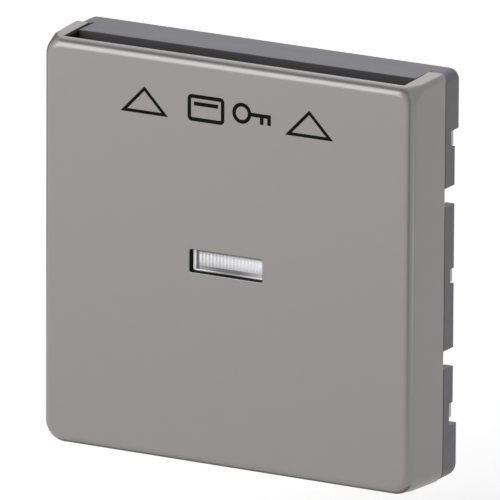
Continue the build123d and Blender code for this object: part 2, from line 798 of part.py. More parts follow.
def lamp_resistor():
    """The lamp's series resistor."""
    return axial_part(resistor_place, resistor_radius, resistor_length)


def lamp_diode():
    """The lamp's rectifier diode."""
    return axial_part(diode_place, diode_radius, diode_length)


pieces = (front_cover, window_lens, lens_gasket, carrier, mounting_plate, card_lever, lever_pin,
          lever_spring, circuit_board, board_screws, switch_base, switch_cover, switch_plunger,
          contact_blade, blade_contact, common_terminal, fixed_contact, lamp, light_guide,
          lamp_resistor, lamp_diode, terminal_block, terminal_clamps, terminal_screws)

os.makedirs("parts", exist_ok=True)
for piece in pieces:
    export_step(piece(), f"parts/{piece.__name__}.step")
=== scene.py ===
import math

import bmesh
import bpy
from mathutils import Matrix, Vector


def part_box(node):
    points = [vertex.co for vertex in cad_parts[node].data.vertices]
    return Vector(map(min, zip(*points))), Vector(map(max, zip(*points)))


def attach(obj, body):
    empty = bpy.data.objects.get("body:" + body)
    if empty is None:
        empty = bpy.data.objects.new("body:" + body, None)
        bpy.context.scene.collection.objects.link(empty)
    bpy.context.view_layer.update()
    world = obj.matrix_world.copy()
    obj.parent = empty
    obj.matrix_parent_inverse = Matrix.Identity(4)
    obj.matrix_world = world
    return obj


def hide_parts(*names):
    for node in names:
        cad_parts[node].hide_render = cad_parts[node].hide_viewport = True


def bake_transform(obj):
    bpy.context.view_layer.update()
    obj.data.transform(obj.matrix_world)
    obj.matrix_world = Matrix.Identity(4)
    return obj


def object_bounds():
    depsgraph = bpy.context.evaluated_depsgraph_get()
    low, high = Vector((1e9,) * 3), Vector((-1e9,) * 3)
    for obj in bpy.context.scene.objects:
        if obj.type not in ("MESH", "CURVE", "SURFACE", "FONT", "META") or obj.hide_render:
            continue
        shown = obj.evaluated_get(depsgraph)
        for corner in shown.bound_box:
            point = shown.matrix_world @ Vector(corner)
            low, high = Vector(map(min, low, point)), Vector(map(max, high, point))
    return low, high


bl_info = {
    "name": "Hotel Key Card Switch",
    "version": (1, 0, 0),
    "blender": (4, 5, 0),
    "location": "View3D > Sidebar > Card Switch",
    "description": "Dresses a wall-mounted key card switch: lacquered cover, carrier, lens and inner works",
    "category": "Object",
}

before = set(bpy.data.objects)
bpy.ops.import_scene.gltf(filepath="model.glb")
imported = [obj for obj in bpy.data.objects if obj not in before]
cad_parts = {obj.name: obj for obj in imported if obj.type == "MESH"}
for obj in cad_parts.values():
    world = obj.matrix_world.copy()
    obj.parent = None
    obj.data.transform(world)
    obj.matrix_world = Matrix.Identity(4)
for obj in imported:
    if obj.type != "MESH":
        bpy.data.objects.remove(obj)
cad_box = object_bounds()

MM = 0.001
HOUSING = "housing"

# Two places nearer to each other than this, in metres, are the same
TOUCH = 1e-6

# How far a solid reaches into the one that it is joined to
LAP = 0.2 * MM

# The numbered inputs of a Mix node for colours: its share and its two colours
SHARE, UNDER, OVER = 0, 6, 7

# Places that more than one piece needs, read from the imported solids
COVER_LOW, COVER_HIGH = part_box("front_cover")
FRONT, REAR, HALF_REAR = COVER_LOW.y, COVER_HIGH.y, COVER_HIGH.x
CARRIER_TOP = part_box("carrier")[1].z
CHUTE_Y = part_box("light_guide")[0].y
BOARD_LOW, BOARD_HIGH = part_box("circuit_board")
GASKET_LOW, GASKET_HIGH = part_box("lens_gasket")
LENS_LOW, LENS_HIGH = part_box("window_lens")
LENS_Z = (LENS_LOW.z + LENS_HIGH.z) / 2

# The black liner of the window is a film, and the lens fills the rest of the window
LINER = 0.03 * MM

# Roundings of the cover that hardly show, and the well's wall and gap round the gasket
REAR_EDGE = 0.12 * MM
POCKET_CORNER = 1.2 * MM
WINDOW_CORNER = 0.35 * MM
WELL_CORNER = 1.35 * MM
WELL_WALL = 1.05 * MM
SEAT_GAP = 0.05 * MM

# The cover's upright ribs: their places, half their width, and their foot
RIB_PLACES = (-24.0 * MM, -12.5 * MM, 12.5 * MM, 24.0 * MM)
RIB_HALF = 0.6 * MM
RIB_FOOT = -26.8 * MM

# The catches on its side walls: their places, half their length, how far they reach inwards and into the
# wall, and how far before the cover's rear edge they start and end
CATCH_PLACES = (-20.0 * MM, 20.0 * MM)
CATCH_HALF = 3.0 * MM
CATCH_REACH = 0.9 * MM
CATCH_ROOT = 0.5 * MM
CATCH_FRONT = 1.6 * MM
CATCH_BACK = 0.8 * MM

# Corners of the lens's foot groove and of the black liner
GROOVE_CORNER = 0.25 * MM
LINER_CORNER = 0.3 * MM

# The wall behind the card, which carries painted shade down the slot: from the middle to its sides, and to
# its foot
CHUTE_SHADE_REACH = 32 * MM
CHUTE_SHADE_DROP = 34 * MM

# The printed marks are a film that stands this far out of the lacquer, so the lacquer lies that far back
INK = 0.02 * MM
FACE = FRONT + INK

# The card sign's corners, the gap at both ends of its stripe, and the stripe's place as a share of its height
CARD_CORNER = 0.8 * MM
STRIPE_GAP = 0.55 * MM
STRIPE_LEVEL = 0.66

# The key sign's ring radius, shank and teeth, its rise over the card sign's middle, and the teeth's places
# as strokes from the shank's end
KEY_RING = 1.8 * MM
KEY_SHANK = 3.7 * MM
KEY_TOOTH = 1.5 * MM
KEY_RISE = 0.25 * MM
TOOTH_PLACES = (0.5, 2.6)


def linear(hex_colour):
    """A linear RGBA colour from an sRGB hex value."""
    parts = [int(hex_colour[i:i + 2], 16) / 255 for i in (1, 3, 5)]
    return (*[p / 12.92 if p <= 0.04045 else ((p + 0.055) / 1.055) ** 2.4 for p in parts], 1.0)


def amount(name, description, default, **more):
    """A plain number that a user may change."""
    return bpy.props.FloatProperty(name=name, description=description, default=default, min=0.0, **more)


def length(name, description, default_mm):
    """A size that a user may change, given in millimetres."""
    return amount(name, description, default_mm * MM, unit="LENGTH", subtype="DISTANCE", precision=5)


def angle(name, description, degrees):
    """An angle that a user may change, given in degrees."""
    return bpy.props.FloatProperty(name=name, description=description, default=math.radians(degrees),
                                   subtype="ANGLE")


def colour(name, description, hex_colour):
    """A colour that a user may change."""
    return bpy.props.FloatVectorProperty(name=name, description=description, subtype="COLOR", size=4,
                                         min=0.0, max=1.0, default=linear(hex_colour))


class CoverSettings(bpy.types.PropertyGroup):
    flare: length("Side flare", "How far each side leans out towards the rear", 0.45)
    top_corner: length("Upper corner radius", "Front face's upper corners", 3.5)
    bottom_corner: length("Lower corner radius", "Front face's lower corners", 3.8)
    corner_run: length("Corner run", "Depth over which the upper corners sharpen", 3.8)
    rear_top_corner: length("Rear upper corner radius", "Rear edge's upper corners", 1.0)
    rear_bottom_corner: length("Rear lower corner radius", "Rear edge's lower corners", 2.8)
    edge: length("Front edge radius", "Rounding round the front face", 1.5)
    panel: length("Panel thickness", "Thickness of the front panel", 1.4)
    side_wall: length("Side wall", "Thickness of the side walls", 2.6)
    lip_depth: length("Lip depth", "Front face to the rear of the slot's lip", 2.1)
    lip_height: length("Lip height", "Height of the slot's lip", 3.0)
    slot_edge: length("Slot edge radius", "Rounding of the slot's upper edges", 0.25)
    window_width: length("Window width", "Width of the window", 13.9)
    window_height: length("Window height", "Height of the window", 3.95)
    window_edge: length("Window edge radius", "Rounding round the window", 0.15)
    lacquer: colour("Lacquer", "Satin grey lacquer", "#999695")
    flake: amount("Flake", "Share of the lacquer that is metal flake", 0.36, max=1.0, subtype="FACTOR")
    inside: colour("Inside", "Bare plastic inside the cover", "#3A3A3C")


class LensSettings(bpy.types.PropertyGroup):
    edge_band: length("Edge band", "Plain band at the lens's left end", 0.63)
    edge_line: length("Edge line", "Dark groove beside the plain band", 0.58)
    rib_pitch: length("Rib pitch", "Spacing of the upright ribs", 0.668)
    rib_radius: length("Rib radius", "Half of each rib's width", 0.29392)
    rib_proud: length("Rib height", "How far the ribs stand out", 0.035)
    end: length("Plain end", "Plain strip at the lens's right end", 0.3)
    head: length("Plain head", "Plain strip over the ribs", 0.35)
    foot_low: length("Foot groove foot", "Lens's lower edge to the foot groove", 0.37)
    foot_high: length("Foot groove top", "Lens's lower edge to the ribs", 1.03)
    groove: length("Groove depth", "Depth of both grooves", 0.12)
    # The ribs' colour is a painted highlight, and the rib gaps' colour a painted shade
    bright: colour("Ribs", "Lit plastic of the ribs", "#EEEDF1")
    dull: colour("Rib gaps", "Plastic between the ribs", "#ACABB2")
    # The edges' colour is a painted highlight on the lens's rounded left and lower edges
    plain: colour("Edges", "Plain plastic round the ribs", "#FCFCFD")
    dark: colour("Grooves", "Shaded grooves", "#69686E")
    # The glow is painted light: the lens is no lamp, and its glow brightens it all over
    glow: amount("Glow", "Light that the lens gathers and gives off", 0.33)


class MarkSettings(bpy.types.PropertyGroup):
    base: length("Base line", "Middle of the front to the marks' lower edge", 24.35)
    arrow_place: length("Arrow place", "Middle of the front to each arrow", 15.65)
    arrow_width: length("Arrow width", "Width of each triangular arrow", 9.1)
    arrow_height: length("Arrow height", "Height of each triangular arrow", 4.7)
    arrow_stroke: length("Arrow stroke", "Line width of the arrows", 0.55)
    sign_stroke: length("Sign stroke", "Line width of the card and key signs", 0.66)
    card_place: length("Card sign place", "Middle of the front, leftwards, to the card sign", 3.9)
    card_width: length("Card sign width", "Width of the card sign", 7.0)
    card_height: length("Card sign height", "Height of the card sign", 4.6)
    key_place: length("Key sign place", "Middle of the front to the key's ring", 2.9)
    ink: colour("Ink", "Black printing ink", "#020202")


class CarrierSettings(bpy.types.PropertyGroup):
    edge: length("Edge rounding", "Moulded edges of the dark carrier", 0.18)
    plastic: colour("Plastic", "Dark grey moulded plastic", "#77767D")
    # The card chute's colour is painted shade on the carrier's wall down the slot
    chute_shade: colour("Card chute", "Wall that the card slides along", "#464648")


class FrameSettings(bpy.types.PropertyGroup):
    edge: length("Edge rounding", "Moulded edges of the white frame", 0.15)
    plastic: colour("Plastic", "White moulded plastic", "#F4F4F2")


class BoardSettings(bpy.types.PropertyGroup):
    track_width: length("Track width", "Width of the board's tracks", 1.5)
    track_thickness: length("Track thickness", "Height of the tracks under the varnish", 0.06)
    solder_height: length("Solder height", "Height of each solder joint", 0.4)
    solder_reach: length("Solder reach", "Solder beyond the pin at its foot", 0.6)
    thread: length("Thread", "Spacing of the laminate's glass threads", 0.6)
    varnish: colour("Varnish", "Green varnish over bare laminate", "#1E5437")
    track: colour("Tracks", "Green varnish over copper", "#3C7A4C")


class StageSettings(bpy.types.PropertyGroup):
    camera_azimuth: angle("Camera azimuth", "Turn of the camera to the right", 28.869)
    camera_elevation: angle("Camera elevation", "Rise of the camera", 15.435)
    camera_roll: angle("Camera roll", "Tilt of the camera about its view", 0.298)
    camera_distance: length("Camera distance", "Camera to the front face", 2668.24)
    camera_right: length("Camera right", "Camera to the right of the line to the front face", 4.5046)
    camera_up: length("Camera up", "Camera over the line to the front face", 3.0776)
    camera_lens: amount("Focal length", "Focal length on a 36 mm wide sensor", 1154.05, unit="CAMERA")
    floor_drop: length("Floor drop", "Lower edge of the unit to the floor", 22.0)
    floor: colour("Floor", "Pale studio floor", "#F4F4F4")
    floor_lift: amount("Floor lift", "Glow that is seen on the floor", 0.63)
    surround: amount("Surround", "Light from the pale surround", 0.32)


def adjust(target, **settings):
    """Sets several properties of one thing."""
    for name, value in settings.items():
        setattr(target, name, value)
    return target


def add_node(tree, kind, inputs=None, **settings):
    """Adds a node, sets its properties, and sets or links its inputs. A node stands for its result."""
    made = adjust(tree.nodes.new("ShaderNode" + kind), **settings)
    for name, value in (inputs or {}).items():
        if isinstance(value, bpy.types.Node):
            value = next(socket for socket in value.outputs if socket.enabled)
        if isinstance(value, bpy.types.NodeSocket):
            tree.links.new(value, made.inputs[name])
        else:
            made.inputs[name].default_value = value
    return made


def new_material(name):
    """An empty node material and its tree."""
    material = bpy.data.materials.new(name)
    material.use_nodes = True
    material.node_tree.nodes.clear()
    return material, material.node_tree


def object_place(tree):
    """The point on the object, in metres."""
    return add_node(tree, "TexCoord").outputs["Object"]


def box_mask(tree, low, high):
    """1 inside a box between two corners and 0 outside it, where None leaves an axis open."""
    axes = add_node(tree, "SeparateXYZ", {0: object_place(tree)})
    mask = 1.0
    for axis, (start, end) in enumerate(zip(low, high)):
        if start is not None:
            inside = add_node(tree, "Math",
                              {0: axes.outputs[axis], 1: (start + end) / 2, 2: (end - start) / 2},
                              operation="COMPARE")
            mask = add_node(tree, "Math", {0: mask, 1: inside}, operation="MULTIPLY")
    return mask


def finish(material, base, roughness, grain_size, depth, spread=0.03, stretch=(1, 1, 1), **sockets):
    """A surface whose tone and shine drift a little, with a grain of a size and depth in mm.

    A grain that is too fine to show is drawn as coarse as it needs to be.
    """
    drift_size = 4 * MM
    shine_drift = 0.08
    tree = material.node_tree
    place = add_node(tree, "Mapping", {"Vector": object_place(tree), "Scale": stretch})
    drift = add_node(tree, "TexNoise", {"Vector": place, "Scale": 1 / drift_size, "Detail": 3.0})
    grain = add_node(tree, "TexNoise",
                     {"Vector": place, "Scale": 1 / (grain_size * MM), "Detail": 2.0, "Roughness": 0.6})
    tint = add_node(tree, "MapRange", {
        "Value": drift, "From Min": 0.3, "From Max": 0.7, "To Min": 1 - spread, "To Max": 1 + spread})
    tone = add_node(tree, "Mix", {SHARE: 1.0, UNDER: base, OVER: tint},
                    data_type="RGBA", blend_type="MULTIPLY")
    shine = add_node(tree, "MapRange", {
        "Value": grain, "To Min": roughness * (1 - shine_drift), "To Max": roughness * (1 + shine_drift)})
    bump = add_node(tree, "Bump", {"Height": grain, "Strength": 0.5, "Distance": depth * MM})
    inputs = {"Base Color": tone, "Roughness": shine, "Normal": bump}
    inputs.update({name.replace("_", " "): value for name, value in sockets.items()})
    shader = add_node(tree, "BsdfPrincipled", inputs)
    add_node(tree, "OutputMaterial", {"Surface": shader})
    return material


def surface(name, base, roughness, grain_size, depth, **more):
    """A new material of one colour with that finish."""
    return finish(new_material(name)[0], base, roughness, grain_size, depth, **more)


def select_only(*pieces):
    """Selects these objects alone and makes the first one active."""
    bpy.ops.object.select_all(action="DESELECT")
    for piece in pieces:
        piece.select_set(True)
    bpy.context.view_layer.objects.active = pieces[0]


def apply_place(piece):
    """Puts the object at the origin, with its place in its mesh."""
    select_only(piece)
    bpy.ops.object.transform_apply(location=True, rotation=True, scale=True)


def start(name, primitive, **settings):
    """A primitive at its size and place, as a start for a piece."""
    bpy.ops.object.select_all(action="DESELECT")
    primitive(**settings)
    piece = bpy.context.active_object
    piece.name = name
    piece.data.name = name
    return piece


def add_block(name, low, high):
    """A box between two corners."""
    low, high = Vector(low), Vector(high)
    block = start(name, bpy.ops.mesh.primitive_cube_add, size=1, location=(low + high) / 2, scale=high - low)
    apply_place(block)
    return block


def pick(piece, kind, test):
    """Goes into edit mode and selects the vertices, edges or faces that pass the test, or all of them."""
    select_only(piece)
    bpy.ops.object.mode_set(mode="EDIT")
    bpy.ops.mesh.select_mode(type=kind)
    bpy.ops.mesh.select_all(action="DESELECT")
    mesh = bmesh.from_edit_mesh(piece.data)
    for item in {"VERT": mesh.verts, "EDGE": mesh.edges, "FACE": mesh.faces}[kind]:
        if test is None or test(item):
            item.select_set(True)
    mesh.select_flush_mode()
    bmesh.update_edit_mesh(piece.data)


def leave_edit():
    """Goes back to object mode."""
    bpy.ops.object.mode_set(mode="OBJECT")


def edit(piece, kind, test, operator, **settings):
    """Runs one edit mode operator on the vertices, edges or faces that pass the test."""
    pick(piece, kind, test)
    operator(**settings)
    leave_edit()


def round_edges(piece, test, width, segments):
    """Rounds the edges that pass the test."""
    edit(piece, "EDGE", test, bpy.ops.mesh.bevel, offset_type="OFFSET", offset=width, segments=segments,
         profile=0.5, affect="EDGES", clamp_overlap=True)


def round_corners(shape, test, radius, segments):
    """Rounds the corners of a flat shape that pass the test."""
    edit(shape, "VERT", test, bpy.ops.mesh.bevel, offset_type="OFFSET", offset=radius, segments=segments,
         profile=0.5, affect="VERTICES", clamp_overlap=False)


def runs_back(edge):
    """Whether an edge runs from front to back."""
    run = edge.verts[1].co - edge.verts[0].co
    return abs(run.y) > 0.9 * run.length


def lies_at(edge, y):
    """Whether an edge lies at one depth."""
    return all(abs(vertex.co.y - y) < TOUCH for vertex in edge.verts)


def apply_modifier(piece, kind, **settings):
    """Adds a modifier with its settings and applies it."""
    select_only(piece)
    modifier = adjust(piece.modifiers.new(kind.lower(), kind), **settings)
    bpy.ops.object.modifier_apply(modifier=modifier.name)


def combine(piece, other, operation):
    """Cuts another mesh from a piece, or joins it on, and removes it."""
    apply_modifier(piece, "BOOLEAN", operation=operation, solver="EXACT", object=other)
    bpy.data.objects.remove(other)


def join(pieces, name):
    """Makes several meshes one object."""
    select_only(*pieces)
    bpy.ops.object.join()
    pieces[0].name = name
    pieces[0].data.name = name
    return pieces[0]


def shade(piece, degrees):
    """Smooth shading up to an angle, with flat faces kept flat beside their rounded edges."""
    select_only(piece)
    bpy.ops.object.shade_smooth_by_angle(angle=math.radians(degrees))
    apply_modifier(piece, "WEIGHTED_NORMAL", keep_sharp=True, weight=80)


def settle(piece, material, slot, *nodes, body=HOUSING):
    """Gives a finished piece its material, its body and the nodes that it stands for."""
    piece.data.materials.clear()
    piece.data.materials.append(material)
    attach(piece, body)
    if nodes:
        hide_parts(*nodes)


def copy_node(name, node):
    """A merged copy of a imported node's mesh, as a start for a piece."""
    piece = bpy.data.objects.new(name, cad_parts[node].data.copy())
    bpy.context.scene.collection.objects.link(piece)
    piece.data.name = name
    piece.data.materials.clear()
    pick(piece, "VERT", None)
    bpy.ops.mesh.remove_doubles(threshold=0.002 * MM)
    bpy.ops.mesh.dissolve_limited(angle_limit=math.radians(0.3))
    leave_edit()
    return piece


def moulded_copy(name, node, edge):
    """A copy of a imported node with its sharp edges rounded, as a mould leaves them."""
    piece = copy_node(name, node)
    sharp = 35
    apply_modifier(piece, "BEVEL", width=edge, segments=2, limit_method="ANGLE",
                   angle_limit=math.radians(sharp), use_clamp_overlap=True)
    shade(piece, sharp)
    return piece


def dress(node, material):
    """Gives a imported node, whose shape is right as it is, its material."""
    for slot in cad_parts[node].material_slots:
        slot.material = material


class OBJECT_OT_card_switch_cover(bpy.types.Operator):
    """Makes the lacquered front cover with its window and slot"""
    bl_idname = "object.card_switch_cover"
    bl_label = "Front Cover"

    def execute(self, context):
        settings = context.scene.card_switch_cover
        half = HALF_REAR - settings.flare
        cavity = half - settings.side_wall
        panel_rear = FRONT + settings.panel
        lip_rear = FRONT + settings.lip_depth
        lip_under = half - settings.lip_height
        cover = cover_shell(settings, half)
        pocket = add_block("pocket", (-cavity, panel_rear, -cavity), (cavity, 0, lip_under))
        round_edges(pocket, lambda edge: runs_back(edge) and edge.verts[0].co.z < 0, POCKET_CORNER, 5)
        combine(cover, pocket, "DIFFERENCE")
        mouth = add_block("mouth", (-cavity, lip_rear, 0), (cavity, 0, 2 * half))
        combine(cover, mouth, "DIFFERENCE")
        cut_window(cover, settings, panel_rear, lip_rear)
        add_ribs_and_catches(cover, cavity, panel_rear, lip_rear, lip_under)
        round_edges(cover, lambda edge: lies_at(edge, lip_rear) and edge.verts[0].co.z > half - MM
                    and edge.verts[1].co.z > half - MM, settings.slot_edge, 3)
        shade(cover, 32)
        settle(cover, lacquered_cover(settings, cavity, half, panel_rear), "cover_lacquer", "front_cover")
        return {"FINISHED"}


def cover_shell(settings, half):
    """The cover's outside, from three outlines bridged into a solid and rounded."""
    lean = settings.flare * settings.corner_run / (REAR - FACE)
    rear_corners = settings.rear_top_corner, settings.rear_bottom_corner
    cover = join([
        outline_ring("ring_front", half, settings.top_corner, settings.bottom_corner, FACE),
        outline_ring("ring_middle", half + lean, *rear_corners, FACE + settings.corner_run),
        outline_ring("ring_rear", HALF_REAR, *rear_corners, REAR)], "front_cover_shell")
    edit(cover, "EDGE", None, bpy.ops.mesh.bridge_edge_loops)
    for y in (FACE, REAR):
        edit(cover, "EDGE", lambda edge: lies_at(edge, y), bpy.ops.mesh.edge_face_add)
    edit(cover, "FACE", None, bpy.ops.mesh.normals_make_consistent, inside=False)
    round_edges(cover, lambda edge: lies_at(edge, FACE), settings.edge, 8)
    round_edges(cover, lambda edge: lies_at(edge, REAR), REAR_EDGE, 2)
    return cover


def outline_ring(name, half, top_radius, bottom_radius, y):
    """A square outline, upright across the view, with rounded corners and no face."""
    ring = start(name, bpy.ops.mesh.primitive_plane_add, size=1, location=(0, y, 0),
                 rotation=(math.pi / 2, 0, 0))
    ring.scale = (2 * half, 2 * half, 1)
    apply_place(ring)
    for radius, side in ((top_radius, 1), (bottom_radius, -1)):
        round_corners(ring, lambda v: v.co.z * side > half - TOUCH, radius, 10)
    edit(ring, "FACE", None, bpy.ops.mesh.delete, type="ONLY_FACE")
    return ring


def cut_window(cover, settings, panel_rear, lip_rear):
    """Builds the well that holds the gasket and lens, and cuts the window in front of it."""
    wall = Vector((WELL_WALL, 0, WELL_WALL))
    gap = Vector((SEAT_GAP, 0, SEAT_GAP))
    low = Vector((GASKET_LOW.x, panel_rear, GASKET_LOW.z))
    high = Vector((GASKET_HIGH.x, 0, GASKET_HIGH.z))
    well = add_block("well", low - wall - Vector((0, LAP, 0)), high + wall + Vector((0, lip_rear, 0)))
    round_edges(well, runs_back, WELL_CORNER, 4)
    combine(cover, well, "UNION")
    combine(cover, add_block("seat", low - gap, high + gap), "DIFFERENCE")
    half_x, half_z = settings.window_width / 2, settings.window_height / 2
    window = add_block("window", (-half_x, FACE - MM, LENS_Z - half_z),
                       (half_x, panel_rear + MM, LENS_Z + half_z))
    round_edges(window, runs_back, WINDOW_CORNER, 4)
    combine(cover, window, "DIFFERENCE")
    margin = 0.01 * MM
    round_edges(cover, lambda edge: lies_at(edge, FACE) and all(
        abs(v.co.x) < half_x + margin and abs(v.co.z - LENS_Z) < half_z + margin for v in edge.verts),
        settings.window_edge, 3)


def add_ribs_and_catches(cover, cavity, panel_rear, lip_rear, lip_under):
    """Upright ribs behind the panel, which stiffen it, and the catches on the side walls."""
    for x in RIB_PLACES:
        combine(cover, add_block("rib", (x - RIB_HALF, panel_rear - LAP, RIB_FOOT),
                                 (x + RIB_HALF, lip_rear, lip_under + LAP)), "UNION")
    for side in (-1, 1):
        for z in CATCH_PLACES:
            start_x, end_x = sorted((side * (cavity - CATCH_REACH), side * (cavity + CATCH_ROOT)))
            combine(cover, add_block("catch", (start_x, REAR - CATCH_FRONT, z - CATCH_HALF),
                                     (end_x, REAR - CATCH_BACK, z + CATCH_HALF)), "UNION")


def lacquered_cover(settings, cavity, half, panel_rear):
    """ABS sprayed outside with satin metallic lacquer: even grey, flakes too fine to see, a soft broad shine.

    The spray doesn't reach the inside, which stays dark bare plastic.
    """
    material, tree = new_material("satin_metallic_lacquer_on_abs")
    margin, overspray = 0.02 * MM, 0.3 * MM
    inside = box_mask(tree, (-cavity - margin, panel_rear - margin, -cavity - margin),
                      (cavity + margin, 0.0, half - overspray))
    base = add_node(tree, "Mix", {SHARE: inside, UNDER: settings.lacquer, OVER: settings.inside},
                    data_type="RGBA")
    metal = add_node(tree, "MapRange", {"Value": inside, "To Min": settings.flake, "To Max": 0.0})
    return finish(material, base, roughness=0.3, grain_size=0.12, depth=0.0012, spread=0.006, Metallic=metal)


class OBJECT_OT_card_switch_lens(bpy.types.Operator):
    """Makes the ribbed lens and the black liner round it"""
    bl_idname = "object.card_switch_lens"
    bl_label = "Lens and Liner"

    def execute(self, context):
        settings = context.scene.card_switch_lens
        seat = context.scene.card_switch_cover
        reach = Vector((seat.window_width / 2 - LINER, 0, seat.window_height / 2 - LINER))
        middle = Vector((0, LENS_LOW.y, LENS_Z))
        low, high = middle - reach, middle + reach
        lens = fitted_lens(low, high)
        line_x = low.x + settings.edge_band
        ribs_x = line_x + settings.edge_line
        foot, top = low.z + settings.foot_high, high.z - settings.head
        ribs = start("ribs", bpy.ops.mesh.primitive_cylinder_add, vertices=16, radius=settings.rib_radius,
                     depth=top - foot,
                     location=(ribs_x + settings.rib_pitch / 2, LENS_LOW.y, (foot + top) / 2))
        ribs.scale.y = settings.rib_proud / settings.rib_radius
        apply_place(ribs)
        apply_modifier(ribs, "ARRAY", count=int((high.x - settings.end - ribs_x) / settings.rib_pitch),
                       use_relative_offset=False, use_constant_offset=True,
                       constant_offset_displace=(settings.rib_pitch, 0, 0))
        combine(lens, ribs, "UNION")
        ahead, floor = LENS_LOW.y - MM, LENS_LOW.y + settings.groove
        combine(lens, add_block("line", (line_x, ahead, foot), (ribs_x, floor, top)), "DIFFERENCE")
        groove = add_block("groove", (line_x, ahead, low.z + settings.foot_low),
                           (high.x - 2 * settings.end, floor, foot))
        round_edges(groove, runs_back, GROOVE_CORNER, 3)
        combine(lens, groove, "DIFFERENCE")
        shade(lens, 40)
        settle(lens, lens_with_painted_light(settings, low, high), "clear_plastic", "window_lens")
        # Black chloroprene: matt and slightly dusty, so the recess reads as a black line
        material = surface("black_rubber", linear("#060607"), roughness=0.62, grain_size=0.1, depth=0.004,
                           spread=0.08, Specular_IOR_Level=0.08)
        settle(window_liner(seat, low, high), material, "gasket_rubber", "lens_gasket")
        return {"FINISHED"}


def fitted_lens(low, high):
    """A copy of the lens whose bar is drawn out to fill the window."""
    lens = copy_node("ribbed_lens", "window_lens")
    flange_y = GASKET_HIGH.y - 0.01 * MM
    near_edge = 0.36 * MM
    for axis in (0, 2):
        places = [v.co[axis] for v in lens.data.vertices if v.co.y < flange_y]
        for edge, goal in ((min(places), low[axis]), (max(places), high[axis])):
            shift = Vector((0, 0, 0))
            shift[axis] = goal - edge
            edit(lens, "VERT", lambda v: v.co.y < flange_y and abs(v.co[axis] - edge) < near_edge,
                 bpy.ops.transform.translate, value=shift)
    return lens


def window_liner(seat, low, high):
    """The gasket: a thin black tube that lines the window, with its flange behind the panel."""
    half_x, half_z = seat.window_width / 2, seat.window_height / 2
    liner = add_block("window_liner", (-half_x, GASKET_LOW.y, LENS_Z - half_z),
                      (half_x, GASKET_HIGH.y, LENS_Z + half_z))
    flange = add_block("flange", (GASKET_LOW.x, FRONT + seat.panel, GASKET_LOW.z), GASKET_HIGH)
    combine(liner, flange, "UNION")
    bore = add_block("bore", (low.x, GASKET_LOW.y - MM, low.z), (high.x, GASKET_HIGH.y + MM, high.z))
    combine(liner, bore, "DIFFERENCE")
    round_edges(liner, runs_back, LINER_CORNER, 4)
    shade(liner, 40)
    return liner


def lens_with_painted_light(settings, low, high):
    """Ribbed polycarbonate with painted light: white ridges that are painted highlight, greyer painted shade
    between them, dark painted shade where it is grooved, painted highlight on its rounded edges, a painted
    shadow under the window's upper edge, and a painted glow.
    """
    material, tree = new_material("ribbed_polycarbonate_with_painted_light")
    axes = add_node(tree, "SeparateXYZ", {0: object_place(tree)})
    # The groove's left wall keeps the plain band's tone
    line_x = low.x + settings.edge_band + TOUCH
    ribs_x = low.x + settings.edge_band + settings.edge_line
    foot_low, foot_high = low.z + settings.foot_low, low.z + settings.foot_high
    fade_end = 0.9
    # The painted shadow of the window's upper edge: its share and its height
    foot_end = 0.45
    head_shadow_share = 0.6
    head_shadow_height = 0.52 * MM
    # Painted highlight on the ribs and painted shade between them; the gaps' painted shade fades into the
    # ribs' tone towards the right
    along = add_node(tree, "Math", {0: axes.outputs[0], 1: ribs_x}, operation="SUBTRACT")
    wave = add_node(tree, "Math", {0: along, 1: settings.rib_pitch / 2}, operation="PINGPONG")
    wave = add_node(tree, "MapRange", {"Value": wave, "From Max": settings.rib_pitch / 2})
    fading = add_node(tree, "MapRange",
                      {"Value": axes.outputs[0], "From Min": ribs_x, "From Max": high.x, "To Max": fade_end})
    wave = add_node(tree, "Math", {0: wave, 1: fading}, operation="MAXIMUM")
    tone = add_node(tree, "Mix", {SHARE: wave, UNDER: settings.dull, OVER: settings.bright}, data_type="RGBA")
    # The painted shade in the foot groove is darkest, and the painted shade on the strip under it greyest, at
    # the middle of the lens
    middle = add_node(tree, "Math", {0: axes.outputs[0]}, operation="ABSOLUTE")
    foot_shade_share = add_node(tree, "MapRange", {
        "Value": middle, "From Min": 2 * MM, "From Max": high.x, "To Min": 1.0, "To Max": foot_end})
    strip_shade_share = add_node(tree, "MapRange", {
        "Value": middle, "From Min": MM, "From Max": high.x - MM, "To Min": 1.0, "To Max": 0.0})
    strip = add_node(tree, "Mix", {SHARE: strip_shade_share, UNDER: settings.plain, OVER: settings.dull},
                     data_type="RGBA")
    # Each layer over the ribs' tone: its lowest and highest x and z, its share and its colour.
    # In turn: the left edge's painted highlight, the line groove's painted shade, the foot groove's painted
    # shade, the lower edge's strip, and the painted shadow that the window's upper edge casts on the lens
    for (low_x, low_z), (high_x, high_z), share, over in (
            ((low.x - MM, None), (line_x, None), 1.0, settings.plain),
            ((line_x, foot_low), (ribs_x, high.z), 1.0, settings.dark),
            ((line_x, foot_low), (high.x - 0.5 * MM, foot_high), foot_shade_share, settings.dark),
            ((None, low.z - MM), (None, foot_low), 1.0, strip),
            ((line_x, high.z - head_shadow_height), (high.x, high.z), head_shadow_share, settings.dark)):
        mask = box_mask(tree, (low_x, None, low_z), (high_x, None, high_z))
        mask = add_node(tree, "Math", {0: mask, 1: share}, operation="MULTIPLY")
        tone = add_node(tree, "Mix", {SHARE: mask, UNDER: tone, OVER: over}, data_type="RGBA")
    # The emission is a painted glow
    return finish(material, tone, roughness=0.3, grain_size=0.5, depth=0.002, spread=0.02, IOR=1.58,
                  Specular_IOR_Level=0.3, Emission_Color=tone, Emission_Strength=settings.glow)


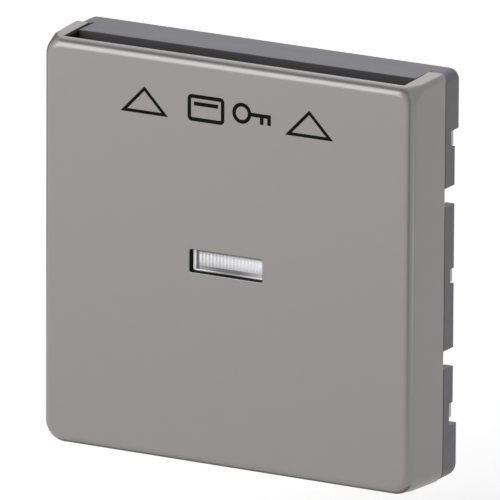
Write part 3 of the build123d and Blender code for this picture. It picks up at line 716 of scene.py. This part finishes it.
class OBJECT_OT_card_switch_marks(bpy.types.Operator):
    """Prints the two arrows and the card and key signs on the cover"""
    bl_idname = "object.card_switch_marks"
    bl_label = "Printed Marks"

    def execute(self, context):
        settings = context.scene.card_switch_marks
        marks = [key_sign(settings)]
        for side in (-1, 1):
            # A triangle in a circle of radius 1 is root 3 wide and 1.5 high
            arrow = flat_shape("arrow", 3, side * settings.arrow_place,
                               settings.base + settings.arrow_height / 3,
                               settings.arrow_width / math.sqrt(3), settings.arrow_height / 1.5)
            marks.append(thicken(keep_border(arrow, settings.arrow_stroke)))
        card_x, stroke = -settings.card_place, settings.sign_stroke
        card = flat_bar("card", card_x, settings.base + settings.card_height / 2,
                        settings.card_width, settings.card_height)
        round_corners(card, None, CARD_CORNER, 5)
        marks.append(thicken(keep_border(card, stroke)))
        stripe = flat_bar("stripe", card_x, settings.base + settings.card_height * STRIPE_LEVEL,
                          settings.card_width - 2 * (stroke + STRIPE_GAP), stroke)
        marks.append(thicken(stripe))
        # Two-part pad-printing ink: dense black with a slight satin film, dry at its edges
        material = surface("black_pad_printing_ink", settings.ink, roughness=0.5, grain_size=0.08,
                           depth=0.002, spread=0.06, Specular_IOR_Level=0.08)
        settle(join(marks, "front_marks"), material, "gasket_rubber")
        return {"FINISHED"}


def key_sign(settings):
    """The key sign: a ring, a shank and two teeth."""
    stroke = settings.sign_stroke
    z = settings.base + settings.card_height / 2 + KEY_RISE
    key = thicken(keep_border(flat_shape("key", 40, settings.key_place, z, KEY_RING, KEY_RING), stroke))
    shank_start = settings.key_place + KEY_RING - stroke / 2
    shank_end = settings.key_place + KEY_RING + KEY_SHANK
    bars = [((shank_start + shank_end) / 2, z, shank_end - shank_start, stroke)]
    for strokes in TOOTH_PLACES:
        bars.append((shank_end - strokes * stroke, z - KEY_TOOTH / 2, stroke, KEY_TOOTH))
    for bar in bars:
        combine(key, thicken(flat_bar("bar", *bar)), "UNION")
    return key


def flat_shape(name, corners, x, z, half_width, half_height):
    """A flat regular polygon on the cover's face, drawn out from a circle of radius 1, facing forward."""
    shape = start(name, bpy.ops.mesh.primitive_circle_add, vertices=corners, radius=1, fill_type="NGON",
                  rotation=(0, 0, math.pi / 4 if corners == 4 else 0))
    apply_place(shape)
    shape.rotation_euler = (math.pi / 2, 0, 0)
    shape.scale = (half_width, half_height, 1)
    shape.location = (x, FRONT, z)
    apply_place(shape)
    return shape


def flat_bar(name, x, z, width, height):
    """A flat upright rectangle on the cover's face."""
    return flat_shape(name, 4, x, z, width / math.sqrt(2), height / math.sqrt(2))


def keep_border(shape, stroke):
    """Keeps only a border of a flat shape, one stroke wide."""
    pick(shape, "FACE", None)
    bpy.ops.mesh.inset(thickness=stroke, depth=0)
    bpy.ops.mesh.delete(type="FACE")
    leave_edit()
    return shape


def thicken(shape):
    """Gives a flat shape the thickness of the ink, half of it sunk in the lacquer."""
    apply_modifier(shape, "SOLIDIFY", thickness=2 * INK, offset=-1)
    return shape


class OBJECT_OT_card_switch_carrier(bpy.types.Operator):
    """Makes the dark carrier with its rim, blocks and notches"""
    bl_idname = "object.card_switch_carrier"
    bl_label = "Carrier"

    def execute(self, context):
        settings = context.scene.card_switch_carrier
        carrier = moulded_copy("carrier_moulding", "carrier", settings.edge)
        # Glass-filled polyamide, spark-eroded mould: a dull, finely pitted grey with a violet cast.
        # The wall behind the card is painted much darker, as painted shade down the slot
        material, tree = new_material("moulded_grey_polyamide")
        chute_shade = box_mask(tree, (-CHUTE_SHADE_REACH, CHUTE_Y - 0.05 * MM, -CHUTE_SHADE_DROP),
                         (CHUTE_SHADE_REACH, CHUTE_Y + 0.2 * MM, CARRIER_TOP - 0.12 * MM))
        base = add_node(tree, "Mix", {SHARE: chute_shade, UNDER: settings.plastic, OVER: settings.chute_shade},
                        data_type="RGBA")
        finish(material, base, roughness=0.5, grain_size=0.25, depth=0.012, spread=0.09, stretch=(0.35, 1, 1))
        settle(carrier, material, "carrier_plastic", "carrier")
        return {"FINISHED"}


class OBJECT_OT_card_switch_frame(bpy.types.Operator):
    """Makes the white mounting frame with its lugs"""
    bl_idname = "object.card_switch_frame"
    bl_label = "Mounting Frame"

    def execute(self, context):
        settings = context.scene.card_switch_frame
        plate = moulded_copy("mounting_frame", "mounting_plate", settings.edge)
        # White glass-filled polyamide: pale, dull, slightly mottled where the fibres lie
        material = surface("white_polyamide", settings.plastic, roughness=0.45, grain_size=0.3,
                           depth=0.008, spread=0.03)
        settle(plate, material, "plate_plastic", "mounting_plate")
        return {"FINISHED"}


# Each moulded piece inside: its new name, node, body, slot, edge rounding in mm, and plastic.
# Acetal looks waxy and milky, phenolic is black and dull, polyamide is dull and a little mottled.
MOULDINGS = (
    ("acetal_lever", "card_lever", "lever", "lever_plastic", 0.2, ("natural_acetal", "#DAD7CE", 0.38)),
    ("phenolic_base", "switch_base", HOUSING, "switch_case", 0.12, ("black_phenolic", "#1D1C1D", 0.42)),
    ("phenolic_lid", "switch_cover", HOUSING, "switch_case", 0.12, ("black_phenolic", "#1D1C1D", 0.42)),
    ("grey_terminal_block", "terminal_block", HOUSING, "block_plastic", 0.15,
     ("grey_polyamide", "#8B8E90", 0.48)),
)

# Each small metal piece: its nodes, and the metal's name, colour, roughness and grain in mm. Zinc plate
# is pale and a little blue, brass is yellow and drawn, contact silver is bright with a soft bloom.
METALS = (
    (("lever_pin", "board_screws", "terminal_screws"), ("zinc_plated_steel", "#B7BABF", 0.28, 0.3)),
    (("contact_blade", "common_terminal", "terminal_clamps"), ("rolled_brass", "#C8A14E", 0.3, 0.35)),
    (("blade_contact", "fixed_contact"), ("contact_silver_alloy", "#D6D6D2", 0.24, 0.2)),
)

# Each wired part: its node, half its body's length in mm, its colour bands (place and half width in mm, and
# colour), and its coat: a resistor's enamel is glossy and beige, a diode's epoxy is black and dull, and a
# lamp's is frosted.
WIRED_PARTS = (
    ("lamp_resistor", 2.6, ((-1.8, 0.25, "#D8B420"), (-0.9, 0.25, "#6A3A86"), (0.0, 0.25, "#C96A1E"),
                            (1.7, 0.25, "#B08D3C")), ("resistor_enamel", "#C9B48C", 0.25)),
    ("lamp_diode", 2.2, ((1.45, 0.3, "#C9C9C6"),), ("moulded_black_epoxy", "#19191A", 0.45)),
    ("lamp", 1.9, (), ("frosted_epoxy", "#DDE4D8", 0.5)),
)


class OBJECT_OT_card_switch_works(bpy.types.Operator):
    """Gives the lever, switch, lamp and terminals their plastics and metals"""
    bl_idname = "object.card_switch_works"
    bl_label = "Inner Works"

    def execute(self, context):
        plastics = {}
        for name, node, body, slot, edge, (plastic, hex_colour, roughness) in MOULDINGS:
            piece = moulded_copy(name, node, edge * MM)
            if plastic not in plastics:
                plastics[plastic] = surface(plastic, linear(hex_colour), roughness, grain_size=0.3,
                                            depth=0.008, spread=0.05)
            settle(piece, plastics[plastic], slot, node, body=body)
        for nodes, (metal, hex_colour, roughness, grain_size) in METALS:
            material = surface(metal, linear(hex_colour), roughness, grain_size, depth=0.003,
                               spread=0.06, stretch=(1, 0.35, 1), Metallic=1.0)
            for node in nodes:
                dress(node, material)
        # Spring steel wire, drawn and oiled: darker than zinc plate, with fine lines along it
        wind_spring(surface("spring_steel", linear("#A3A5A8"), 0.3, 0.25, 0.003, spread=0.06,
                            Metallic=1.0))
        # Coloured acetal: smooth, waxy and even
        dress("switch_plunger", surface("red_acetal", linear("#A52A22"), 0.34, 0.3, 0.005, spread=0.04))
        # Clear polycarbonate, moulded and polished: glassy, with a faint flow pattern in its shine
        dress("light_guide", surface("clear_polycarbonate", linear("#F2F5F6"), 0.06, 0.6, 0.004,
                                     spread=0.02, IOR=1.585, Transmission_Weight=0.9))
        for node, body_half, bands, (name, hex_colour, roughness) in WIRED_PARTS:
            dress(node, wired_part(node, body_half, bands, name, hex_colour, roughness))
        return {"FINISHED"}


def wind_spring(material):
    """The lever's spring: a smoothed copy of the imported spring with its material, in place of the imported
    one, which is hidden.
    """
    spring = copy_node("wound_spring", "lever_spring")
    shade(spring, 50)
    spring.data.materials.append(material)
    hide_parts("lever_spring")
    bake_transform(spring)


def wired_part(node, body_half, bands, name, hex_colour, roughness):
    """A coated body with colour bands on it and tinned wire at its ends."""
    material, tree = new_material(name)
    low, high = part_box(node)
    middle = (low.x + high.x) / 2
    body = box_mask(tree, (middle - body_half * MM, low.y - MM, None),
                    (middle + body_half * MM, BOARD_LOW.y - 0.02 * MM, None))
    base = linear(hex_colour)
    for offset, half, band_colour in bands:
        x = middle + offset * MM
        band = box_mask(tree, (x - half * MM, None, None), (x + half * MM, None, None))
        base = add_node(tree, "Mix", {SHARE: band, UNDER: base, OVER: linear(band_colour)}, data_type="RGBA")
    base = add_node(tree, "Mix", {SHARE: body, UNDER: linear("#C4C6C9"), OVER: base}, data_type="RGBA")
    metal = add_node(tree, "Math", {0: 1.0, 1: body}, operation="SUBTRACT")
    return finish(material, base, roughness, grain_size=0.2, depth=0.003, spread=0.05, Metallic=metal)


# Places of the pins that come through the board: x, z and radius in mm
SOLDERED_PINS = (
    (-8.0, -19.0, 0.4), (-8.0, -9.5, 0.4), (-1.27, 0.0, 0.25), (1.27, 0.0, 0.25),
    (-15.3, 2.6, 0.25), (-7.7, 2.6, 0.25), (8.1, 2.6, 0.25), (14.9, 2.6, 0.25),
    (-8.6, 13.92, 0.4), (0.0, 13.92, 0.4), (8.6, 13.92, 0.4),
)

# The copper tracks on the board's rear, as x and z in mm
TRACKS = (
    ((-8.0, -19.0), (-5.5, -16.5), (15.7, -16.5), (17.2, -15.0), (17.2, 7.4), (15.6, 9.0), (10.2, 9.0),
     (8.6, 10.6), (8.6, 13.9)),
    ((14.9, 2.6), (17.2, 2.6)),
    ((-8.0, -9.5), (-11.5, -6.0), (-11.5, 11.0), (-8.6, 13.9)),
    ((-15.3, 2.6), (-15.3, 5.0), (-13.5, 6.8), (-11.5, 6.8)),
    ((-7.7, 2.6), (-5.1, 0.0), (-1.27, 0.0)),
    ((1.27, 0.0), (5.5, 0.0), (8.1, 2.6)),
    ((0.0, 13.9), (0.0, 10.4)),
)


class OBJECT_OT_card_switch_board(bpy.types.Operator):
    """Makes the circuit board's tracks and solder joints and gives the board its varnish"""
    bl_idname = "object.card_switch_board"
    bl_label = "Circuit Board"

    def execute(self, context):
        settings = context.scene.card_switch_board
        dress("circuit_board", varnished_board(settings))
        tracks = join([add_track(points, settings) for points in TRACKS], "board_tracks")
        # The same varnish over copper: paler and yellower than over bare laminate, and glossy
        material = surface("varnished_copper", settings.track, roughness=0.26, grain_size=0.5,
                           depth=0.006, spread=0.06)
        settle(tracks, material, "board_laminate")
        joints = join([add_solder(x, z, pin, settings) for x, z, pin in SOLDERED_PINS], "solder_joints")
        shade(joints, 50)
        # Lead-free solder, wave soldered: bright grey, soft-edged, slightly frosted
        material = surface("tin_solder", linear("#B4B7BA"), roughness=0.27, grain_size=0.35,
                           depth=0.01, spread=0.08, Metallic=1.0)
        settle(joints, material, "steel")
        return {"FINISHED"}


def add_track(points, settings):
    """One copper track: a low rounded ridge along its points on the board's rear."""
    curve = adjust(bpy.data.curves.new("track", "CURVE"), dimensions="3D",
                   bevel_depth=settings.track_width / 2, bevel_resolution=3, use_fill_caps=True)
    spline = curve.splines.new("POLY")
    spline.points.add(len(points) - 1)
    for point, (x, z) in zip(spline.points, points):
        point.co = (x * MM, 0, z * MM, 1)
    track = bpy.data.objects.new("track", curve)
    bpy.context.scene.collection.objects.link(track)
    select_only(track)
    bpy.ops.object.convert(target="MESH")
    track = bpy.context.active_object
    track.scale.y = 2 * settings.track_thickness / settings.track_width
    track.location.y = BOARD_HIGH.y
    apply_place(track)
    return track


def add_solder(x, z, pin, settings):
    """One solder joint: a cone drawn in at two levels, round a pin."""
    sunk = 0.05 * MM
    tip = 0.1 * MM
    height = settings.solder_height + sunk
    middle = BOARD_HIGH.y - sunk + height / 2
    place = Vector((x * MM, middle, z * MM))
    joint = start("joint", bpy.ops.mesh.primitive_cone_add, vertices=20,
                  radius1=pin * MM + settings.solder_reach, radius2=pin * MM + tip, depth=height,
                  rotation=(-math.pi / 2, 0, 0), location=place)
    apply_place(joint)
    for share, narrowing in ((-0.2, 0.82), (0.15, 0.74)):
        level = middle + share * height
        edit(joint, "FACE", None, bpy.ops.mesh.bisect, plane_co=(0, level, 0), plane_no=(0, 1, 0))
        edit(joint, "VERT", lambda v: abs(v.co.y - level) < TOUCH, bpy.ops.transform.resize,
             value=(narrowing, 1, narrowing), center_override=(place.x, level, place.z))
    return joint


def varnished_board(settings):
    """FR-4 glass laminate under green varnish: the weave shows as fine squares, the cut edges stay tan."""
    material, tree = new_material("green_varnished_laminate")
    place = object_place(tree)
    rim = 0.04 * MM
    varnished = box_mask(tree, (BOARD_LOW.x + rim, None, BOARD_LOW.z + rim),
                         (BOARD_HIGH.x - rim, None, BOARD_HIGH.z - rim))
    # A wave texture repeats every pi / (10 * scale) metres
    weave = 1.0
    for axis in ("X", "Z"):
        wave = add_node(tree, "TexWave",
                        {"Vector": place, "Scale": math.pi / (10 * settings.thread), "Distortion": 0.4},
                        bands_direction=axis)
        weave = add_node(tree, "Math", {0: weave, 1: wave.outputs["Fac"]}, operation="MULTIPLY")
    shade_share = 0.82
    deep = [c * shade_share for c in settings.varnish[:3]] + [1.0]
    green = add_node(tree, "Mix", {SHARE: weave, UNDER: deep, OVER: settings.varnish}, data_type="RGBA")
    base = add_node(tree, "Mix", {SHARE: varnished, UNDER: linear("#A89A5E"), OVER: green}, data_type="RGBA")
    return finish(material, base, roughness=0.3, grain_size=0.6, depth=0.004, spread=0.04)


# Each lamp: the direction in which it stands, its distance and size in metres, and its watts.
# A large soft one before the unit, a second behind it, and a faint small one that lights the right side.
LAMPS = (
    ("softbox_front", (-0.47, -0.74, 0.48), 1.0, 0.76, 5.35),
    ("softbox_behind", (-0.2, 0.75, 0.6), 1.1, 0.6, 1.0),
    ("softbox_right", (0.96, 0.06, -0.2), 0.22, 0.03, 0.0085),
)

# Each grey card that draws a line along a rounded edge: its direction, distance, width and height in
# metres, and its colour
CARDS = (
    ("card_above", (-0.1, -0.22, 0.86), 0.45, 0.75, 0.22, "#101010"),
    ("card_right", (0.68, -0.69, 0.0), 0.16, 0.055, 0.3, "#B4B4B4"),
    ("card_left", (-0.9, 0.36, 0.0), 0.2, 0.15, 0.3, "#4A4A4A"),
    ("card_below", (0.0, -0.12, -0.97), 0.052, 0.09, 0.018, "#7E7E7E"),
)


class OBJECT_OT_card_switch_stage(bpy.types.Operator):
    """Makes the camera, the floor, the lamps and the studio's pale surround"""
    bl_idname = "object.card_switch_stage"
    bl_label = "Stage"

    def execute(self, context):
        settings = context.scene.card_switch_stage
        add_camera(context.scene, settings)
        add_floor(settings)
        for lamp in LAMPS:
            add_lamp(*lamp)
        for card in CARDS:
            add_card(*card)
        light_surround(context.scene, settings.surround)
        context.scene.view_settings.view_transform = "Standard"
        return {"FINISHED"}


def add_camera(scene, settings):
    """The camera, placed by its angles and distance from the middle of the front face."""
    camera = bpy.data.objects.new("camera", bpy.data.cameras.new("camera"))
    scene.collection.objects.link(camera)
    front_centre = Vector((-0.25, -16.3, -0.15)) * MM
    camera.matrix_world = (
        Matrix.Translation(front_centre) @ Matrix.Rotation(settings.camera_azimuth, 4, "Z")
        @ Matrix.Rotation(math.pi / 2 - settings.camera_elevation, 4, "X")
        @ Matrix.Rotation(settings.camera_roll, 4, "Z")
        @ Matrix.Translation((settings.camera_right, settings.camera_up, settings.camera_distance)))
    adjust(camera.data, sensor_width=36, lens=settings.camera_lens, clip_start=0.1, clip_end=20)
    scene.camera = camera


def seen_rays(tree):
    """1 for what is seen, straight, in gloss or through glass, and 0 for light on the object."""
    paths = add_node(tree, "LightPath")
    seen = paths.outputs["Is Camera Ray"]
    for ray in ("Is Glossy Ray", "Is Transmission Ray"):
        seen = add_node(tree, "Math", {0: seen, 1: paths.outputs[ray]}, operation="MAXIMUM")
    return seen


def add_floor(settings):
    """A pale floor under the unit, which reads as white where nothing shades it."""
    floor = start("floor", bpy.ops.mesh.primitive_plane_add, size=6,
                  location=(0, 0, cad_box[0].z - settings.floor_drop))
    apply_place(floor)
    material, tree = new_material("pale_studio_floor")
    lift = add_node(tree, "Math", {0: seen_rays(tree), 1: settings.floor_lift}, operation="MULTIPLY")
    matt = add_node(tree, "BsdfDiffuse", {"Color": settings.floor})
    glow = add_node(tree, "Emission", {"Color": settings.floor, "Strength": lift})
    both = add_node(tree, "AddShader", {0: matt, 1: glow})
    # Seen from below, the floor doesn't hide the unit
    under = add_node(tree, "NewGeometry").outputs["Backfacing"]
    clear = add_node(tree, "BsdfTransparent")
    either = add_node(tree, "MixShader", {0: under, 1: both, 2: clear})
    add_node(tree, "OutputMaterial", {"Surface": either})
    floor.data.materials.append(material)


def aim(piece, direction, distance, axis):
    """Puts a lamp or a card in a direction from the unit, with one of its axes towards the unit."""
    away = Vector(direction).normalized()
    piece.location = away * distance
    piece.rotation_euler = (-away).to_track_quat(axis, "Y").to_euler()


def add_lamp(name, direction, distance, size, watts):
    """A square area lamp in a direction from the unit, aimed at it."""
    lamp = bpy.data.objects.new(name, bpy.data.lights.new(name, "AREA"))
    bpy.context.scene.collection.objects.link(lamp)
    adjust(lamp.data, shape="SQUARE", size=size, energy=watts)
    lamp.visible_camera = False
    aim(lamp, direction, distance, "-Z")


def add_card(name, direction, distance, width, height, hex_colour):
    """A matt card beside the unit, which is seen only in its gloss."""
    card = start(name, bpy.ops.mesh.primitive_plane_add, size=1)
    card.scale = (width, height, 1)
    aim(card, direction, distance, "Z")
    apply_place(card)
    material, tree = new_material("matt_card")
    matt = add_node(tree, "BsdfDiffuse", {"Color": linear(hex_colour)})
    add_node(tree, "OutputMaterial", {"Surface": matt})
    card.data.materials.append(material)
    card.visible_camera = False
    card.visible_shadow = False


def light_surround(scene, strength_on_object):
    """A white surround: dimmer as light on the object than as the background that is seen."""
    world = bpy.data.worlds.new("surround")
    scene.world = world
    world.use_nodes = True
    tree = world.node_tree
    tree.nodes.clear()
    strength = add_node(tree, "MapRange",
                        {"Value": seen_rays(tree), "To Min": strength_on_object, "To Max": 1.0})
    glow = add_node(tree, "Background", {"Color": (1, 1, 1, 1), "Strength": strength})
    add_node(tree, "OutputWorld", {"Surface": glow})


OPERATORS = (
    OBJECT_OT_card_switch_cover,
    OBJECT_OT_card_switch_lens,
    OBJECT_OT_card_switch_marks,
    OBJECT_OT_card_switch_carrier,
    OBJECT_OT_card_switch_frame,
    OBJECT_OT_card_switch_works,
    OBJECT_OT_card_switch_board,
    OBJECT_OT_card_switch_stage,
)

SETTINGS = {
    "card_switch_cover": CoverSettings,
    "card_switch_lens": LensSettings,
    "card_switch_marks": MarkSettings,
    "card_switch_carrier": CarrierSettings,
    "card_switch_frame": FrameSettings,
    "card_switch_board": BoardSettings,
    "card_switch_stage": StageSettings,
}


class VIEW3D_PT_card_switch(bpy.types.Panel):
    """The steps that dress the key card switch, with their settings"""
    bl_label = "Key Card Switch"
    bl_space_type = "VIEW_3D"
    bl_region_type = "UI"
    bl_category = "Card Switch"

    def draw(self, context):
        for operator in OPERATORS:
            self.layout.operator(operator.bl_idname)
        for name in SETTINGS:
            group = getattr(context.scene, name)
            box = self.layout.box()
            for key in group.__annotations__:
                box.prop(group, key)


def register():
    for name, group in SETTINGS.items():
        bpy.utils.register_class(group)
        setattr(bpy.types.Scene, name, bpy.props.PointerProperty(type=group))
    for operator in OPERATORS:
        bpy.utils.register_class(operator)
    bpy.utils.register_class(VIEW3D_PT_card_switch)


def unregister():
    bpy.utils.unregister_class(VIEW3D_PT_card_switch)
    for operator in reversed(OPERATORS):
        bpy.utils.unregister_class(operator)
    for name, group in SETTINGS.items():
        delattr(bpy.types.Scene, name)
        bpy.utils.unregister_class(group)


def main():
    register()
    bpy.ops.object.card_switch_cover()
    bpy.ops.object.card_switch_lens()
    bpy.ops.object.card_switch_marks()
    bpy.ops.object.card_switch_carrier()
    bpy.ops.object.card_switch_frame()
    bpy.ops.object.card_switch_works()
    bpy.ops.object.card_switch_board()
    bpy.ops.object.card_switch_stage()


if __name__ == "__main__":
    main()
